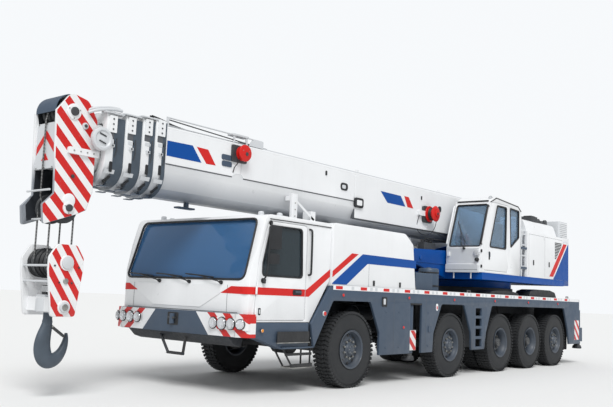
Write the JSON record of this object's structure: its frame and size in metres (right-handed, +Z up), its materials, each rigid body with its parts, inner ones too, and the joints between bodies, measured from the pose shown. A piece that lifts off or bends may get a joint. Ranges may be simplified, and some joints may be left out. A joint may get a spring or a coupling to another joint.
{
  "type": "mobile crane",
  "caption": "Truck-mounted mobile crane with a telescopic boom laid over its low cab, a slewing superstructure, outriggers, a luffing cylinder and a hanging hook block.",
  "frame": {"origin": "on the ground at the middle of the machine's length and width", "axes": "+X to the vehicle's left, -Y to its front, +Z up"},
  "size_m": [3.001, 15.154, 3.9545],
  "materials": {
    "white_paint": "gloss white machine paint, with blue panels and red stripes",
    "blue_paint": "gloss blue machine paint",
    "grey_paint": "satin blue-grey chassis paint",
    "dark_metal": "dark painted and greased steel",
    "slate_iron": "forged hook, dull dark slate",
    "steel": "ground and plated rods",
    "tyre": "black road tyre on a grey painted rim",
    "glass": "tinted safety glass",
    "interior": "dark cab trim and woven seat covers"
  },
  "bodies": {
    "carrier": {"chassis_frame": "grey_paint", "deck": "grey_paint", "left_skirt": "grey_paint", "right_skirt": "grey_paint", "cab_shell": "white_paint", "cab_interior": "interior", "windscreen": "glass", "front_bumper": "grey_paint", "engine_block": "dark_metal", "engine_cover": "white_paint", "boom_rest": "white_paint", "slew_ring": "dark_metal", "axle_1": "dark_metal", "axle_2": "dark_metal", "axle_3": "dark_metal", "axle_4": "dark_metal", "axle_5": "dark_metal"},
    "left_cab_door": {"left_door": "white_paint"},
    "right_cab_door": {"right_door": "white_paint"},
    "knuckle_1_left": {"knuckle_1_left": "dark_metal"},
    "knuckle_1_right": {"knuckle_1_right": "dark_metal"},
    "knuckle_2_left": {"knuckle_2_left": "dark_metal"},
    "knuckle_2_right": {"knuckle_2_right": "dark_metal"},
    "wheel_1_left": {"wheel_1_left": "tyre"},
    "wheel_1_right": {"wheel_1_right": "tyre"},
    "wheel_2_left": {"wheel_2_left": "tyre"},
    "wheel_2_right": {"wheel_2_right": "tyre"},
    "wheel_3_left": {"wheel_3_left": "tyre"},
    "wheel_3_right": {"wheel_3_right": "tyre"},
    "wheel_4_left": {"wheel_4_left": "tyre"},
    "wheel_4_right": {"wheel_4_right": "tyre"},
    "wheel_5_left": {"wheel_5_left": "tyre"},
    "wheel_5_right": {"wheel_5_right": "tyre"},
    "outrigger_beam_front_left": {"outrigger_beam_front_left": "grey_paint"},
    "outrigger_jack_front_left": {"outrigger_jack_front_left": "steel"},
    "outrigger_beam_front_right": {"outrigger_beam_front_right": "grey_paint"},
    "outrigger_jack_front_right": {"outrigger_jack_front_right": "steel"},
    "outrigger_beam_rear_left": {"outrigger_beam_rear_left": "grey_paint"},
    "outrigger_jack_rear_left": {"outrigger_jack_rear_left": "steel"},
    "outrigger_beam_rear_right": {"outrigger_beam_rear_right": "grey_paint"},
    "outrigger_jack_rear_right": {"outrigger_jack_rear_right": "steel"},
    "superstructure": {"turntable": "blue_paint", "operator_cab": "white_paint", "operator_chair": "interior", "machinery_house": "white_paint", "hydraulic_tank": "white_paint", "counterweight": "blue_paint"},
    "operator_cab_door": {"operator_door": "white_paint"},
    "winch_drum": {"main_winch": "dark_metal"},
    "boom_1": {"boom_base": "white_paint"},
    "boom_2": {"boom_section_2": "white_paint"},
    "boom_3": {"boom_section_3": "white_paint"},
    "boom_4": {"boom_section_4": "white_paint"},
    "boom_5": {"boom_section_5": "white_paint"},
    "hook_hanger": {"hoist_falls": "dark_metal", "hook_block": "white_paint"},
    "hook_swivel": {"crane_hook": "slate_iron"},
    "luff_cylinder": {"luff_barrel": "white_paint"},
    "luff_piston": {"luff_rod": "steel"}
  },
  "joints": [
    {"name": "left_door_hinge", "type": "hinge", "parent": "carrier", "child": "left_cab_door", "pos_m": [1.464, -4.867, 1.7], "axis": [0, 0, -1], "range_deg": [0, 70]},
    {"name": "right_door_hinge", "type": "hinge", "parent": "carrier", "child": "right_cab_door", "pos_m": [-1.464, -4.867, 1.7], "axis": [0, 0, 1], "range_deg": [0, 70]},
    {"name": "steer_1_left", "type": "hinge", "parent": "carrier", "child": "knuckle_1_left", "pos_m": [1, -2.587, 0.613], "axis": [0, 0, 1], "range_deg": [-30, 30]},
    {"name": "steer_1_right", "type": "hinge", "parent": "carrier", "child": "knuckle_1_right", "pos_m": [-1, -2.587, 0.613], "axis": [0, 0, 1], "range_deg": [-30, 30]},
    {"name": "steer_2_left", "type": "hinge", "parent": "carrier", "child": "knuckle_2_left", "pos_m": [1, 0.603, 0.613], "axis": [0, 0, 1], "range_deg": [-15, 15]},
    {"name": "steer_2_right", "type": "hinge", "parent": "carrier", "child": "knuckle_2_right", "pos_m": [-1, 0.603, 0.613], "axis": [0, 0, 1], "range_deg": [-15, 15]},
    {"name": "spin_1_left", "type": "hinge", "parent": "knuckle_1_left", "child": "wheel_1_left", "pos_m": [1.29, -2.587, 0.613], "axis": [1, 0, 0], "continuous": true},
    {"name": "spin_1_right", "type": "hinge", "parent": "knuckle_1_right", "child": "wheel_1_right", "pos_m": [-1.29, -2.587, 0.613], "axis": [1, 0, 0], "continuous": true},
    {"name": "spin_2_left", "type": "hinge", "parent": "knuckle_2_left", "child": "wheel_2_left", "pos_m": [1.29, 0.603, 0.613], "axis": [1, 0, 0], "continuous": true},
    {"name": "spin_2_right", "type": "hinge", "parent": "knuckle_2_right", "child": "wheel_2_right", "pos_m": [-1.29, 0.603, 0.613], "axis": [1, 0, 0], "continuous": true},
    {"name": "spin_3_left", "type": "hinge", "parent": "carrier", "child": "wheel_3_left", "pos_m": [1.29, 2.793, 0.613], "axis": [1, 0, 0], "continuous": true},
    {"name": "spin_3_right", "type": "hinge", "parent": "carrier", "child": "wheel_3_right", "pos_m": [-1.29, 2.793, 0.613], "axis": [1, 0, 0], "continuous": true},
    {"name": "spin_4_left", "type": "hinge", "parent": "carrier", "child": "wheel_4_left", "pos_m": [1.29, 4.293, 0.613], "axis": [1, 0, 0], "continuous": true},
    {"name": "spin_4_right", "type": "hinge", "parent": "carrier", "child": "wheel_4_right", "pos_m": [-1.29, 4.293, 0.613], "axis": [1, 0, 0], "continuous": true},
    {"name": "spin_5_left", "type": "hinge", "parent": "carrier", "child": "wheel_5_left", "pos_m": [1.29, 5.693, 0.613], "axis": [1, 0, 0], "continuous": true},
    {"name": "spin_5_right", "type": "hinge", "parent": "carrier", "child": "wheel_5_right", "pos_m": [-1.29, 5.693, 0.613], "axis": [1, 0, 0], "continuous": true},
    {"name": "beam_front_left", "type": "slide", "parent": "carrier", "child": "outrigger_beam_front_left", "axis": [1, 0, 0], "range_m": [0, 2.1]},
    {"name": "jack_front_left", "type": "slide", "parent": "outrigger_beam_front_left", "child": "outrigger_jack_front_left", "axis": [0, 0, -1], "range_m": [0, 0.35]},
    {"name": "beam_front_right", "type": "slide", "parent": "carrier", "child": "outrigger_beam_front_right", "axis": [-1, 0, 0], "range_m": [0, 2.1]},
    {"name": "jack_front_right", "type": "slide", "parent": "outrigger_beam_front_right", "child": "outrigger_jack_front_right", "axis": [0, 0, -1], "range_m": [0, 0.35]},
    {"name": "beam_rear_left", "type": "slide", "parent": "carrier", "child": "outrigger_beam_rear_left", "axis": [1, 0, 0], "range_m": [0, 2.1]},
    {"name": "jack_rear_left", "type": "slide", "parent": "outrigger_beam_rear_left", "child": "outrigger_jack_rear_left", "axis": [0, 0, -1], "range_m": [0, 0.35]},
    {"name": "beam_rear_right", "type": "slide", "parent": "carrier", "child": "outrigger_beam_rear_right", "axis": [-1, 0, 0], "range_m": [0, 2.1]},
    {"name": "jack_rear_right", "type": "slide", "parent": "outrigger_beam_rear_right", "child": "outrigger_jack_rear_right", "axis": [0, 0, -1], "range_m": [0, 0.35]},
    {"name": "slew", "type": "hinge", "parent": "carrier", "child": "superstructure", "pos_m": [0, 3.863, 1.79], "axis": [0, 0, 1], "continuous": true},
    {"name": "operator_door_hinge", "type": "hinge", "parent": "superstructure", "child": "operator_cab_door", "pos_m": [1.487, 3.01, 2.8], "axis": [0, 0, 1], "range_deg": [0, 80]},
    {"name": "winch_spin", "type": "hinge", "parent": "superstructure", "child": "winch_drum", "pos_m": [0, 5.853, 2.45], "axis": [1, 0, 0], "continuous": true},
    {"name": "luff", "type": "hinge", "parent": "superstructure", "child": "boom_1", "pos_m": [0, 5.513, 3.23], "axis": [-1, 0, 0], "range_deg": [0, 80]},
    {"name": "telescope_2", "type": "slide", "parent": "boom_1", "child": "boom_2", "axis": [0, -1, 0], "range_m": [0, 8.6]},
    {"name": "telescope_3", "type": "slide", "parent": "boom_2", "child": "boom_3", "axis": [0, -1, 0], "range_m": [0, 8.6]},
    {"name": "telescope_4", "type": "slide", "parent": "boom_3", "child": "boom_4", "axis": [0, -1, 0], "range_m": [0, 8.6]},
    {"name": "telescope_5", "type": "slide", "parent": "boom_4", "child": "boom_5", "axis": [0, -1, 0], "range_m": [0, 8.6]},
    {"name": "hook_hang", "type": "hinge", "parent": "boom_5", "child": "hook_hanger", "pos_m": [0, -7.207, 2.45], "axis": [1, 0, 0], "range_deg": [0, 80]},
    {"name": "hook_swivel", "type": "hinge", "parent": "hook_hanger", "child": "hook_swivel", "pos_m": [0, -7.207, 1], "axis": [0, 0, 1], "continuous": true},
    {"name": "luff_barrel_turn", "type": "hinge", "parent": "superstructure", "child": "luff_cylinder", "pos_m": [0, 3.713, 2.37], "axis": [-1, 0, 0], "range_deg": [0, 88.1]},
    {"name": "luff_rod_out", "type": "slide", "parent": "luff_cylinder", "child": "luff_piston", "axis": [0, -0.9983, 0.0577], "range_m": [0, 2.46]}
  ],
  "couplings": [
    {"joint": "steer_1_right", "follows": "steer_1_left", "ratio": 1},
    {"joint": "steer_2_left", "follows": "steer_1_left", "ratio": 0.5},
    {"joint": "steer_2_right", "follows": "steer_1_left", "ratio": 0.5},
    {"joint": "telescope_3", "follows": "telescope_2", "ratio": 1},
    {"joint": "telescope_4", "follows": "telescope_2", "ratio": 1},
    {"joint": "telescope_5", "follows": "telescope_2", "ratio": 1},
    {"joint": "hook_hang", "follows": "luff", "ratio": 1},
    {"joint": "luff_barrel_turn", "follows": "luff", "ratio": 1.1005},
    {"joint": "luff_rod_out", "follows": "luff", "m_per_rad": 1.7596}
  ]
}
